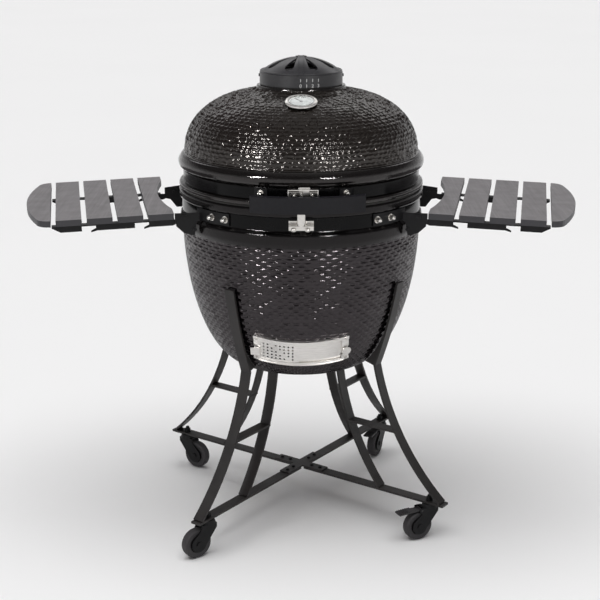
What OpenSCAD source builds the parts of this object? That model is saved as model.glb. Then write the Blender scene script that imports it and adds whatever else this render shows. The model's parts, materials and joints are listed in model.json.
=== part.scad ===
// Kamado ceramic grill on a four-wheeled stand, with two folding side shelves.
// Millimetres, +Z up. The floor is z = 0 and the grill's axis is x = y = 0.
// The handle and the draft door face -Y, and the lid hinge is at +Y.
// A bearing angle is counted from the front (-Y) towards +X.

/* [Ceramic shells] */
// Radius of the bowl at its widest
bowl_r = 322; // [316:1:324]
// Height of the bowl's flat underside above the floor
bowl_foot_z = 436; // [434:1:438]
// Height at which the bowl is widest
bowl_wide_z = 850; // [848:1:852]
// Radius of the bowl's flat underside
foot_r = 155; // [150:1:158]
// Height of the joint between base and lid
part_z = 930; // [929:1:931]
// Radius of the lid's rolled flange
flange_r = 330; // [328:1:332]
// Rise of the lid's dome above the flange
dome_rise = 165; // [160:1:168]
// Radius of the collar round the chimney
collar_r = 118; // [115:1:125]
// Thickness of the ceramic wall
wall = 25; // [22:1:28]

/* [Bands and hinge] */
// Thickness of the steel bands
band_t = 3; // [2:0.5:3.5]
// Distance of the hinge pin behind the axis
hinge_y = 350; // [349:1:352]
// Height of the hinge pin
hinge_z = 913; // [912:1:914]

/* [Handle and latch] */
// Bearing of the middle of the handle
handle_turn = 2.8; // [0:0.1:4]
// Half of the angle that the grip spans
handle_half = 22.4; // [20:0.1:25]
// Outer radius of the grip
grip_r = 374; // [372:1:378]
// Thickness of the grip
grip_t = 22; // [18:1:22]

/* [Chimney cap] */
// Radius of the chimney ring
cap_r = 110; // [108:1:112]
// Height of the joint between ring and damper
cap_z = 1229; // [1228:1:1230]
// Number of vent slots
vent_count = 8; // [6:1:9]

/* [Draft door] */
// Backward lean of the bowl's wall at the draft door
draft_lean = 26.5; // [25:0.5:28]
// Height at which the draft door's curve is centred on the axis
draft_z = 658; // [655:1:661]
// Radius of the seat ground into the bowl
draft_r = 287; // [286:1:288]
// Half of the height of the draft frame
draft_half_h = 41; // [40:1:44]
// Half of the angle that the draft frame spans
draft_half_a = 25.2; // [24:0.1:28]

/* [Side shelves] */
// Sweep of each shelf towards the front
shelf_sweep = 10; // [6:0.5:12]
// Slack in the brackets, which lets a shelf droop
shelf_droop = 1.5; // [0:0.5:3]
// Length of a slat
slat_len = 507; // [490:1:520]
// Width of a slat
slat_w = 65.5; // [60:0.5:68]
// Distance from one slat to the next
slat_pitch = 78.4; // [77:0.1:80]
// Thickness of a slat
slat_t = 16; // [12:1:18]

/* [Stand] */
// Turn of the stand under the bowl
stand_turn = 9.6; // [0:0.1:12]
// Distance of a leg's end from the axis
leg_end = 475; // [470:1:488]
// Width of the flat bar
bar_w = 30; // [26:1:32]
// Thickness of the flat bar
bar_t = 6; // [5:1:7]
// Height of the underside of the bottom bars
bar_z = 100; // [99:1:101]

/* [Casters] */
// Distance of a caster's swivel from the axis
swivel_rho = 426; // [420:1:430]
// Radius of a wheel
wheel_r = 40; // [36:0.5:40]
// Width of a wheel
wheel_w = 24; // [22:1:26]
// Distance of a wheel's axle behind its swivel
trail = 36; // [34:1:38]

/* [Hidden] */
$fn = 96;

glaze = [0.16, 0.15, 0.15];
steel = [0.80, 0.79, 0.77];
black = [0.10, 0.10, 0.11];
paint = [0.23, 0.21, 0.21];

// Radii and heights of the two bands and of the beads beside them
base_seat_r = 319;
base_band_z = [869, 902];
base_bead_r = 329;
lid_seat_r = 314;
lid_band_z = [946, 975];
gasket_t = 2.3;
base_top_z = part_z - 5;

// Bearings of each leg, and the heading of each caster from its swivel to its wheel
leg_names = ["front_left", "front_right", "rear_left", "rear_right"];
leg_angle = [225, 315, 135, 45];
caster_heading = [216, 205, -34, 245];

// Turned outlines --------------------------------------------------------

// Outer radius of the bowl at height z
function bowl_out(z) =
  foot_r + (bowl_r - foot_r) * sqrt(max(0, 1 - pow((bowl_wide_z - z) / (bowl_wide_z - bowl_foot_z), 2)));

// A point on a rounded dome of half-width a and rise b about [x, z], t from 0 to 90
function dome_point(x, z, a, b, t) = [x + a * pow(cos(t), 0.91), z + b * pow(sin(t), 0.91)];

module turned(points) {
  rotate_extrude() polygon(points);
}

// A block bent round the axis, between two radii, heights and bearings
module arc_block(r0, r1, z0, z1, a0, a1) {
  rotate([0, 0, a0 - 90])
    rotate_extrude(angle = a1 - a0)
      translate([r0, z0]) square([r1 - r0, z1 - z0]);
}

// Puts its children at a bearing, radius and height, with local +Z pointing outwards
module facing_out(a, r, z) {
  rotate([0, 0, a]) translate([0, -r, z]) rotate([90, 0, 0]) children();
}

// A bolt whose shank runs inwards from local z = 0, with a washer and a domed nut
module dome_nut_bolt(shank_r, shank_l, nut_r) {
  dome_r = nut_r * 0.84;
  translate([0, 0, -shank_l]) cylinder(r = shank_r, h = shank_l + 2);
  cylinder(r = nut_r * 1.25, h = 1.6);
  translate([0, 0, 1.5]) cylinder(r = nut_r, h = nut_r * 0.9, $fn = 6);
  translate([0, 0, 1.5 + nut_r * 0.9]) rotate_extrude() polygon(concat([[0, -1], [dome_r, -1]],
    [for (t = [0 : 15 : 75]) dome_r * [cos(t), 0.5 + sin(t)]], [[0, dome_r * 1.5]]));
}

// Ceramic ---------------------------------------------------------------

module ceramic_base() {
  steps = 28;
  z_tex = 822;
  outside = [for (i = [0 : steps])
    let (z = bowl_foot_z + (z_tex - bowl_foot_z) * pow(i / steps, 1.7)) [bowl_out(z), z]];
  inside = [for (i = [0 : steps])
    let (z = bowl_foot_z + wall + 9 + 380 * pow(1 - i / steps, 1.5))
    [bowl_out(z - 9) - wall - 7, z]];
  color(glaze) difference() {
    turned(concat(
      [[0, bowl_foot_z]],
      outside,
      [[bowl_r + 3.5, z_tex + 6], [bowl_r + 5.5, z_tex + 20], [bowl_r + 5.5, 855], [bowl_r + 3, 861],
       [base_seat_r, 865], [base_seat_r, 903.5], [base_bead_r - 3.5, 903.5], [base_bead_r, 907],
       [base_bead_r, base_top_z - 4], [base_bead_r - 4, base_top_z], [base_seat_r - wall - 4, base_top_z]],
      inside,
      [[0, bowl_foot_z + wall + 9]]));
    at_draft() {
      arc_block(draft_r, draft_r + 60, -draft_half_h - 1, draft_half_h + 1, -draft_half_a - 0.3, draft_half_a + 0.3);
      arc_block(draft_r - 70, draft_r + 5, -28, 28, -19, 19);
      draft_screw_holes();
    }
    bolt_holes(false);
  }
}

module ceramic_lid() {
  steps = 24;
  outside = [for (i = [0 : steps]) dome_point(90, part_z + 88, flange_r - 16 - 90, dome_rise, 79 * i / steps)];
  inside = [for (i = [0 : steps]) dome_point(80, part_z + 82, 208, dome_rise - 16, 87 * (1 - i / steps))];
  color(glaze) difference() {
    turned(concat(
      [[288, part_z], [325, part_z], [328.5, part_z + 3.5], [328.5, part_z + 10.5], [325, part_z + 14],
       [lid_seat_r, part_z + 14], [lid_seat_r, part_z + 48], [flange_r - 10, part_z + 49],
       [flange_r - 3, part_z + 55], [flange_r, part_z + 63], [flange_r, part_z + 72],
       [flange_r - 3, part_z + 80], [flange_r - 9, part_z + 85]],
      outside,
      [[collar_r + 14, part_z + 253], [collar_r + 5, part_z + 256.5], [collar_r + 1, part_z + 260],
       [collar_r, part_z + 265], [86, part_z + 265]],
      inside));
    at_thermometer() translate([0, 0, -60]) cylinder(r = 6.3, h = 90);
    at_thermometer() translate([0, 0, -0.2]) cylinder(r = 30.5, h = 20);
    bolt_holes(true);
  }
}

// Holes for the shanks of the band bolts
module bolt_holes(on_lid) {
  for (b = on_lid ? lid_bolts : base_bolts)
    facing_out(b[0], 300, b[1]) cylinder(r = 3.2, h = 40);
}

// Bearing, height and stand-off radius of each bolt through a band
lid_bolts = [[-18.3, 963, 321.5, 6.4], [20.4, 963, 321.5, 6.4], [-3.1, 962.6, 324.4, 4.8],
             [4.5, 962.6, 325.1, 4.8], [172, 961, 321.8, 4.6], [188, 961, 321.8, 4.6]];
shelf_bolt_bearings = [36, 44, 121, 129];
base_bolts = concat(
  [for (side = [-1, 1], a = shelf_bolt_bearings) [side * a, 886, 326.4, 7.2]],
  [[-3.3, 877, 329, 6.4], [2.8, 877, 328.9, 6.4], [172, 884, 326.8, 4.6], [188, 884, 326.8, 4.6]]);

module base_gasket() {
  color([0.75, 0.73, 0.7]) turned([[298, base_top_z], [322, base_top_z],
    [322, base_top_z + gasket_t], [298, base_top_z + gasket_t]]);
}

module lid_gasket() {
  color([0.75, 0.73, 0.7]) turned([[298, part_z - gasket_t], [322, part_z - gasket_t],
    [322, part_z], [298, part_z]]);
}

// Fire box, fire ring and grids -------------------------------------------

module fire_box() {
  floor_z = bowl_foot_z + wall + 9.5;
  color([0.72, 0.66, 0.58]) difference() {
    turned([[60, floor_z], [120, floor_z], [184, floor_z + 76], [228, floor_z + 150], [236, floor_z + 251],
            [218, floor_z + 251], [212, floor_z + 158], [184, floor_z + 115], [158, floor_z + 115],
            [156, floor_z + 106], [104, floor_z + 30], [60, floor_z + 20]]);
    translate([-60, -250, floor_z + 26]) cube([120, 160, 52]);
    for (k = [0 : 7]) rotate([0, 0, 22.5 + 45 * k]) translate([150, 0, floor_z + 190]) rotate([0, 90, 0]) cylinder(r = 9, h = 120);
  }
}

module fire_ring() {
  z = 722;
  color([0.72, 0.66, 0.58])
    turned([[219, z], [262, z], [264, z + 158], [246, z + 158], [243, z + 24], [219, z + 18]]);
}

module charcoal_grate() {
  color(black) translate([0, 0, bowl_foot_z + 149.8]) linear_extrude(9) difference() {
    circle(r = 182);
    for (k = [0 : 11]) rotate(30 * k) translate([95, -6]) square([75, 12]);
    for (k = [0 : 5]) rotate(60 * k + 15) translate([28, -6]) square([50, 12]);
  }
}

module cooking_grid() {
  ring_r = 257;
  z = 884.2;
  color([0.6, 0.6, 0.6]) {
    rotate_extrude() translate([ring_r, z]) circle(r = 4, $fn = 24);
    for (i = [-11 : 11]) {
      x = 22 * i;
      half = sqrt(ring_r * ring_r - x * x);
      translate([x, half, z]) rotate([90, 0, 0]) cylinder(r = 3, h = 2 * half, $fn = 24);
    }
  }
}

// Draft door --------------------------------------------------------------

// The draft parts share a cylinder whose axis leans with the bowl's wall
module at_draft() {
  translate([0, 0, draft_z]) rotate([draft_lean, 0, 0]) children();
}

module draft_frame() {
  r = draft_r + 0.2;
  a = draft_half_a;
  h = draft_half_h;
  color(steel) at_draft() difference() {
    union() {
      rotate([0, 0, -a - 90]) rotate_extrude(angle = 2 * a) polygon([
        [r, -h], [r + 7, -h], [r + 7, -h + 8], [r + 5.8, -h + 8], [r + 5.8, -h + 5.5], [r + 1.5, -h + 5.5],
        [r + 1.5, h - 6], [r + 5.8, h - 6], [r + 5.8, h - 11], [r + 7, h - 11], [r + 7, h], [r, h]]);
      for (e = [-1, 1], z = [[-h + 7.8, -21.5], [6, h - 10.8]])
        arc_block(r + 5.9, r + 6.9, z[0], z[1], e > 0 ? a - 4.2 : 0.2 - a, e > 0 ? a - 0.2 : 4.2 - a);
      arc_block(r + 6.5, r + 8.4, -h - 1, -h + 1, -a + 3, a - 3);
    }
    arc_block(r - 1, r + 3, -29, 29, -19.5, 19.5);
    draft_screw_holes();
  }
}

// Puts its children on the frame's four screws
module at_draft_screws() {
  for (s = [-1, 1], e = [-1, 1])
    facing_out(e * (draft_half_a - 1.9), draft_r + 7.2, s * (draft_half_h - 7.5)) children();
}

module draft_screw_holes() {
  at_draft_screws() translate([0, 0, -27]) cylinder(r = 2.1, h = 40);
}

module draft_frame_screws() {
  color(steel) at_draft() at_draft_screws() {
    translate([0, 0, -25]) cylinder(r = 2, h = 26);
    difference() {
      translate([0, 0, 0.05]) cylinder(r = 4, h = 2.2);
      translate([-0.5, -5, 1.25]) cube([1, 10, 2]);
    }
  }
}

// The perforated screen slides in front of the solid door
module draft_screen() {
  r = draft_r + 4.5;
  edge = draft_half_a - 3;
  pitch_a = 11.1 / r * 180 / PI;
  color(steel) at_draft() {
    difference() {
      arc_block(r, r + 1, -34.5, 34, -edge, -1);
      for (i = [0 : 7], j = [0 : 4])
        if (i - j != 2)
          facing_out(-19.6 + pitch_a * i, r - 3, 22 - 11.4 * j) cylinder(r = 2.6, h = 8, $fn = 20);
    }
    translate([0, 0, -20]) linear_extrude(25) polygon([for (q = [[r + 0.1, 0], [r + 5, -0.1], [r + 13.5, 3.7],
      [r + 13, 4.1], [r + 4.4, 0.4], [r + 0.1, 0.5]])
      q.x * [-sin(edge - 0.5 + q.y), -cos(edge - 0.5 + q.y)]]);
  }
}

module draft_door() {
  r = draft_r + 2.2;
  edge = draft_half_a - 3;
  color(steel) at_draft() {
    arc_block(r, r + 1, -34.5, 34, -2.5, edge);
    arc_block(r + 0.5, r + 9.9, -18, 3, edge - 0.6, edge);
    intersection() {
      arc_block(r + 9.3, r + 10.4, -20, 5, edge - 0.8, edge + 5);
      facing_out(edge + 1.3, r, -7.5) cylinder(r = 12.5, h = 20);
    }
  }
}

// Stand -------------------------------------------------------------------

// Centre of the circle through three points
function circle_centre(a, b, c) =
  let (d = 2 * (a.x * (b.y - c.y) + b.x * (c.y - a.y) + c.x * (a.y - b.y)),
       qa = a * a, qb = b * b, qc = c * c)
  [(qa * (b.y - c.y) + qb * (c.y - a.y) + qc * (a.y - b.y)) / d,
   (qa * (c.x - b.x) + qb * (a.x - c.x) + qc * (b.x - a.x)) / d];

// Points along the arc from a to c through b
function arc_through(a, b, c, steps) =
  let (o = circle_centre(a, b, c), r = norm(a - o),
       t0 = atan2(a.y - o.y, a.x - o.x), t1 = atan2(c.y - o.y, c.x - o.x),
       sweep = t1 - t0 > 180 ? t1 - t0 - 360 : t1 - t0 < -180 ? t1 - t0 + 360 : t1 - t0)
  [for (i = [0 : steps]) o + r * [cos(t0 + sweep * i / steps), sin(t0 + sweep * i / steps)]];

// A line of points moved sideways by d
function shifted(p, d) = [for (i = [0 : len(p) - 1])
  let (v = p[min(i + 1, len(p) - 1)] - p[max(i - 1, 0)])
  p[i] + d * [-v.y, v.x] / norm(v)];

function reversed(p) = [for (i = [len(p) - 1 : -1 : 0]) p[i]];

// A flat bar of thickness t bent along a line of [distance from the axis, height]
module bent_bar(p, t, w) {
  rotate([90, 0, 0]) linear_extrude(w, center = true)
    polygon(concat(shifted(p, t / 2), reversed(shifted(p, -t / 2))));
}

outer_line = arc_through([464, bar_z + bar_t + 1], [344, 243], [252, 461], 14);
top_line = arc_through([252, 458], [299, 612], [318, 700], 12);
top_centre = circle_centre(top_line[0], top_line[6], top_line[12]);
top_arc_r = norm(top_line[0] - top_centre);

// Distance of a leg's top bar from the axis at height z
function top_rho(z) = top_centre.x + sqrt(top_arc_r * top_arc_r - pow(z - top_centre.y, 2));
inner_line = arc_through([272, bar_z + bar_t + 1], [170, 283], [131, bowl_foot_z - 5], 10);

module leg(k) {
  color(paint) rotate([0, 0, leg_angle[k] + stand_turn]) {
    difference() {
      translate([20, -bar_w / 2, bar_z]) cube([leg_end - 20, bar_w, bar_t]);
      translate([swivel_rho, 0, bar_z - 1]) cylinder(r = 5.2, h = bar_t + 2);
      for (rho = [38, 66]) translate([rho, 0, bar_z - 1]) cylinder(r = 3.3, h = bar_t + 2);
    }
    bent_bar(outer_line, bar_t, bar_w);
    bent_bar(top_line, bar_t, bar_w);
    bent_bar(inner_line, bar_t, bar_w);
    translate([166, -bar_w / 2, 279]) cube([153, bar_w, bar_t]);
    translate([112, -bar_w / 2, bowl_foot_z - 8]) cube([36, bar_w, 5]);
    leg_web();
  }
}

// The upright web between a leg's top and the bowl
module leg_web() {
  heights = [for (i = [0 : 12]) 462 + 17 * i];
  rotate([90, 0, 0]) linear_extrude(4, center = true)
    polygon(concat(
      [for (z = heights) [bowl_out(z) + 2, z]],
      reversed([for (z = heights) [top_rho(z), z]]),
      [[250, 452]]));
}

// Rubber pads between the bowl and its legs
module leg_pads() {
  color(black) for (a = leg_angle) rotate([0, 0, a + stand_turn]) {
    translate([115, -12, bowl_foot_z - 3]) cube([30, 24, 3]);
    rotate([90, 0, 0]) linear_extrude(20, center = true)
      polygon([for (p = [[0, 668], [0, 677], [0, 686], [1, 686], [1, 677], [1, 668]])
        [p.x == 0 ? bowl_out(p.y) + 0.2 : top_rho(p.y) - bar_t / 2 - 0.15, p.y]]);
  }
}

module cross_plate() {
  color(paint) translate([0, 0, bar_z + bar_t]) linear_extrude(4) difference() {
    for (a = [0, 90]) rotate(a + 45 + stand_turn) square([164, bar_w + 2], center = true);
    for (a = leg_angle, rho = [38, 66]) rotate(a + stand_turn) translate([rho, 0]) circle(r = 3.3);
  }
}

module stand_bolts() {
  color(black) for (a = leg_angle) rotate([0, 0, a + stand_turn]) {
    for (rho = [38, 66]) translate([rho, 0, bar_z - 5]) {
      cylinder(r = 3, h = bar_t + 13);
      cylinder(r = 5.5, h = 4.8, $fn = 6);
      translate([0, 0, bar_t + 9.1]) cylinder(r = 5, h = 3);
    }
    translate([swivel_rho, 0, 0]) {
      translate([0, 0, 84]) cylinder(r = 5, h = 38);
      translate([0, 0, 80]) cylinder(r = 8.5, h = 5.5, $fn = 6);
      translate([0, 0, bar_z + bar_t + 0.1]) cylinder(r = 10, h = 2);
      translate([0, 0, bar_z + bar_t + 2]) cylinder(r = 9, h = 8, $fn = 6);
    }
  }
}

// Bands, hinge, latch and handle -------------------------------------------

// A steel strap with a closing gap at one bearing
module band(seat_r, z, gap_a) {
  color(black) difference() {
    arc_block(seat_r + 0.3, seat_r + 0.3 + band_t, z[0], z[1], gap_a + 0.8, gap_a + 359.2);
    children();
  }
}

module base_band() {
  band(base_seat_r, base_band_z, 0) bolt_holes(false);
}

module lid_band() {
  band(lid_seat_r, lid_band_z, 0) bolt_holes(true);
}

module base_band_bolts() {
  color(steel) for (b = base_bolts) facing_out(b[0], b[2], b[1]) dome_nut_bolt(3, 20, b[3]);
}

module lid_band_bolts() {
  color(steel) for (b = lid_bolts) facing_out(b[0], b[2], b[1]) dome_nut_bolt(3, 20, b[3]);
}

// An ear in the YZ plane at one x, from a list of [y, z] points and a boss round the hinge pin
module hinge_ear(x, points) {
  translate([x - 2.5, 0, 0]) rotate([90, 0, 90]) linear_extrude(5) {
    polygon(points);
    translate([hinge_y, hinge_z]) circle(r = 11);
  }
}

module hinge_pin_hole() {
  translate([-100, hinge_y, hinge_z]) rotate([0, 90, 0]) cylinder(r = 5.05, h = 200);
}

module hinge_base_bracket() {
  color(black) difference() {
    union() {
      arc_block(322.6, 326.6, 870, 901, 166, 194);
      for (x = [-70, 70])
        hinge_ear(x, [[316, 871], [330, 871], [361, 911], [341, 918], [331, 900], [316, 900]]);
    }
    hinge_pin_hole();
    cylinder(r = 322.6, h = 1000);
    bolt_holes(false);
  }
}

module hinge_lid_bracket() {
  color(black) difference() {
    union() {
      arc_block(317.6, 321.6, 947, 974, 168, 192);
      for (x = [-58, 58])
        hinge_ear(x, [[312, 948], [331, 948], [339, 911], [361, 915], [350, 960], [338, 974], [312, 974]]);
    }
    hinge_pin_hole();
    cylinder(r = 317.6, h = 1000);
    translate([0, 0, part_z - 2]) cylinder(r = 329.6, h = 17);
    bolt_holes(true);
  }
}

module hinge_pin() {
  color(steel) translate([0, hinge_y, hinge_z]) rotate([0, 90, 0]) {
    translate([0, 0, -84]) cylinder(r = 5, h = 168);
    for (x = [-84, 80]) translate([0, 0, x]) cylinder(r = 8, h = 4);
  }
}

// Two close-wound springs round the pin, each a ribbed sleeve
module hinge_springs() {
  color(steel) for (side = [-1, 1])
    translate([side * 8, hinge_y, hinge_z]) rotate([0, 90 * side, 0]) rotate_extrude() {
      for (i = [0 : 8]) translate([12, 2.4 + 4.8 * i]) circle(r = 2.4, $fn = 20);
      translate([10.6, 1]) square([2.6, 41]);
    }
}

module latch_post() {
  color(steel) {
    difference() {
      translate([-31, -327.9, 872]) cube([62, 2, 25]);
      bolt_holes(false);
    }
    difference() {
      translate([-31, -352, 886]) cube([62, 26, 2.5]);
      translate([-50, -358, 880]) rotate([0, 0, 35]) cube([30, 20, 20]);
      mirror([1, 0, 0]) translate([-50, -358, 880]) rotate([0, 0, 35]) cube([30, 20, 20]);
    }
    translate([0, -341, 888]) cylinder(r = 11.2, h = 33);
    translate([0, -341, 920]) cylinder(r = 4, h = 52);
  }
}

module latch_keeper() {
  color(steel) {
    difference() {
      translate([-33, -323.5, 956]) cube([75, 2, 24]);
      for (b = [lid_bolts[2], lid_bolts[3]]) facing_out(b[0], 300, b[1]) cylinder(r = 3.2, h = 40);
    }
    difference() {
      translate([-33, -352, 978]) cube([75, 29, 2]);
      translate([-7, -345, 977]) cube([29, 20, 4]);
    }
    for (x = [-33, 40]) translate([x, -347, 956]) cube([2, 24, 24]);
    translate([-32, -332, 970]) rotate([0, 90, 0]) cylinder(r = 2, h = 73);
  }
}

// The catch inside the keeper: a blade on the cross pin, with a tongue to press
module latch_lever() {
  color(steel) {
    difference() {
      translate([-5, -335, 957.5]) cube([25, 6, 24]);
      translate([-10, -332, 970]) rotate([0, 90, 0]) cylinder(r = 2.06, h = 40);
    }
    translate([-5, -343, 981]) cube([25, 16, 3]);
  }
}

module handle_grip() {
  a = handle_half;
  outer = [for (i = [0 : 16]) let (t = -a + 2 * a * i / 16) grip_r * [sin(t), -cos(t)]];
  inner = [for (i = [0 : 16]) let (t = (a + 1.8) * (1 - i / 8)) (grip_r - grip_t) * [sin(t), -cos(t)]];
  color([0.17, 0.17, 0.19]) difference() {
    rotate([0, 0, handle_turn]) translate([0, 0, 923]) linear_extrude(40) polygon(concat(outer, inner));
    for (b = [lid_bolts[0], lid_bolts[1]]) facing_out(b[0], grip_r - grip_t - 4, 937) cylinder(r = 3.06, h = 13);
  }
}

module handle_brackets() {
  color(black) for (b = [lid_bolts[0], lid_bolts[1]]) difference() {
    union() {
      arc_block(317.6, 321.4, 947, 974, b[0] - 3, b[0] + 3);
      arc_block(318, grip_r - grip_t - 1, 945.5, 949.5, b[0] - 3, b[0] + 3);
      arc_block(grip_r - grip_t - 4.2, grip_r - grip_t - 0.3, 927, 949.5, b[0] - 3, b[0] + 3);
      facing_out(b[0], grip_r - grip_t - 2, 937) cylinder(r = 3, h = 9);
    }
    facing_out(b[0], 300, b[1]) cylinder(r = 3.2, h = 40);
    cylinder(r = 317.6, h = 1000);
  }
}

// Chimney and thermometer ---------------------------------------------------

module chimney_gasket() {
  color(black) turned([[88, part_z + 265], [108, part_z + 265], [108, part_z + 267], [88, part_z + 267]]);
}

// One teardrop slot from its tip to a round lobe
module vent_slot(tip, centre, lobe) {
  polygon(concat([[tip, 0]], [for (t = [-105 : 15 : 105]) [centre + lobe * cos(t), lobe * sin(t)]]));
}

module vent_slots(lobe, turn) {
  for (k = [0 : vent_count - 1])
    rotate(360 / vent_count * (k + 0.5) - 90 + turn) vent_slot(26, 80, lobe);
}

module chimney_ring() {
  z = part_z + 267;
  color(black) difference() {
    chimney_ring_body(z);
    at_chimney_screws() translate([0, 0, -9]) cylinder(r = 2.06, h = 12);
  }
}

module chimney_ring_body(z) {
  union() {
    turned([[92, z], [cap_r - 0.8, z], [cap_r, z + 0.8], [cap_r, cap_z - 1],
            [cap_r - 1, cap_z - 0.3], [cap_r - 6, cap_z - 0.3], [cap_r - 6, z + 8], [92, z + 4]]);
    translate([0, 0, cap_z - 6]) linear_extrude(3) difference() {
      circle(r = cap_r - 5);
      vent_slots(13, 180 / vent_count);
      circle(r = 4.06);
    }
  }
}

module at_chimney_screws() {
  for (side = [-1, 1]) facing_out(90 * side, cap_r + 0.1, cap_z - 10) children();
}

module chimney_ring_screws() {
  color(black) at_chimney_screws() {
    translate([0, 0, -4]) cylinder(r = 2, h = 5);
    cylinder(r = 4, h = 2.5);
  }
}

module damper_cap() {
  lip_z = cap_z + 0.3;
  rise = 38;
  a = cap_r - 3;
  dome_r = (a * a + rise * rise) / (2 * rise);
  centre_z = lip_z + rise - dome_r;
  color(black) {
    difference() {
      translate([0, 0, centre_z]) difference() {
        sphere(r = dome_r);
        sphere(r = dome_r - 4);
        translate([0, 0, lip_z - centre_z - 400]) cube([800, 800, 800], center = true);
      }
      translate([0, 0, lip_z - 1]) linear_extrude(60) vent_slots(12.2, 0);
    }
    turned([[cap_r - 7, lip_z], [cap_r - 1, lip_z], [cap_r - 1, lip_z + 3], [cap_r - 4, lip_z + 5], [cap_r - 8, lip_z + 4]]);
    translate([0, 0, lip_z + rise - 3]) cylinder(r = 15, h = 4.2);
    translate([0, 0, cap_z - 8]) cylinder(r = 4, h = rise + 6);
    for (fin = [[-8, 16, 2.2], [-8, 3, 6], [5, 3, 5.9]]) intersection() {
      translate([fin[0], 1 - cap_r, lip_z]) cube([fin[1], cap_r - 17, 60]);
      translate([0, 0, centre_z]) difference() {
        sphere(r = dome_r + fin[2]);
        sphere(r = dome_r - 3 + fin[2] / 10);
      }
    }
  }
}

// The thermometer stands square on the front of the dome
module at_thermometer() {
  translate([0, -187, 1167]) rotate([16, 0, 0]) children();
}

module thermometer_case() {
  color(steel) at_thermometer() {
    turned([[0, 0], [30, 0], [30, 4], [39, 4], [41, 5], [41.5, 6.5], [41, 8.4], [39, 10], [36.5, 10.6], [34, 10],
            [32.4, 8.4], [32, 6.5], [32, 5.5], [0, 5.5]]);
    translate([0, 0, -62]) cylinder(r = 3.5, h = 62);
    translate([0, 0, -34]) cylinder(r = 11, h = 7, $fn = 6);
  }
}

module thermometer_dial() {
  color([0.9, 0.9, 0.88]) at_thermometer() translate([0, 0, 5.5]) difference() {
    cylinder(r = 31.8, h = 1);
    translate([0, 0, -1]) cylinder(r = 1.06, h = 3);
  }
}

module thermometer_needle() {
  color("crimson") at_thermometer() {
    translate([0, 0, 5.8]) cylinder(r = 1, h = 2);
    translate([0, 0, 7]) cylinder(r = 3.5, h = 1.4);
    rotate([0, 0, 130]) translate([0, -1, 7]) cube([24, 2, 0.8]);
  }
}

module thermometer_lens() {
  color([0.8, 0.85, 0.9, 0.4]) at_thermometer() translate([0, 0, 8.7]) cylinder(r = 31.8, h = 1);
}

// Side shelves ----------------------------------------------------------------

shelf_origin = [327.3, -200, 888.3];
pivot_x = -26;
pivot_z = -11;
rear_rail_y = 332;

// The right shelf's place: local +X outwards, +Y rearwards, z = 0 on top of the slats
module at_shelf() {
  translate(shelf_origin) rotate([0, 0, -shelf_sweep]) children();
}

module drooped() {
  translate([pivot_x, 0, pivot_z]) rotate([0, shelf_droop, 0]) translate([-pivot_x, 0, -pivot_z]) children();
}

// Outline of the outermost slat, whose free edge is bowed with rounded corners
function bowed_edge(x0, bow) = [for (i = [-14 : 14])
  let (u = sin(90 * i / 14), v = max(0, abs(u) * slat_len / 2 - slat_len / 2 + 25) / 25)
  [x0 + bow - 39 * u * u - 24 * (1 - sqrt(1 - v * v)), slat_len / 2 * (1 + u)]];

module shelf_slats() {
  half = slat_len / 2;
  hollow_r = 838;
  last_x = 4 * slat_pitch;
  color([0.45, 0.44, 0.45]) at_shelf() drooped() translate([0, 0, -slat_t]) linear_extrude(slat_t) {
    difference() {
      square([slat_w, slat_len]);
      translate([23 - hollow_r, half]) circle(r = hollow_r, $fn = 400);
    }
    for (k = [1 : 3]) translate([k * slat_pitch, 0]) square([slat_w, slat_len]);
    polygon(concat([[last_x, slat_len], [last_x, 0]], bowed_edge(last_x, slat_w - 1)));
  }
}

// One rail: an angle with two open notches, each with a small tooth to hang a tool from
module shelf_rail(y) {
  reach = 4 * slat_pitch - 2;
  translate([0, y, 0]) difference() {
    union() {
      rotate([90, 0, 0]) translate([0, 0, -3]) linear_extrude(3) {
        difference() {
          polygon([[-20, -slat_t - 0.2], [reach, -slat_t - 0.2], [reach, -slat_t - 4], [reach - 22, -slat_t - 16],
                   [4, -slat_t - 16], [-20, -22]]);
          for (x = [65, 200]) translate([x, -60]) square([36, 60 - slat_t - 3.4]);
        }
        translate([pivot_x, pivot_z]) circle(r = 13);
        polygon([[pivot_x, pivot_z + 9], [-3, -4], [-3, -slat_t - 8], [pivot_x, pivot_z - 13]]);
        for (x = [65, 200]) polygon([[x - 3, -25], [x + 3, -27], [x + 13, -32], [x + 13, -36], [x - 3, -32]]);
      }
      translate([10, 0, -slat_t - 3.2]) cube([reach - 10, 25, 3]);
    }
    translate([pivot_x, -1, pivot_z]) rotate([-90, 0, 0]) cylinder(r = 4.06, h = 6);
  }
}

module shelf_rails() {
  color(black) at_shelf() drooped() {
    shelf_rail(2);
    shelf_rail(rear_rail_y);
  }
}

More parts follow.
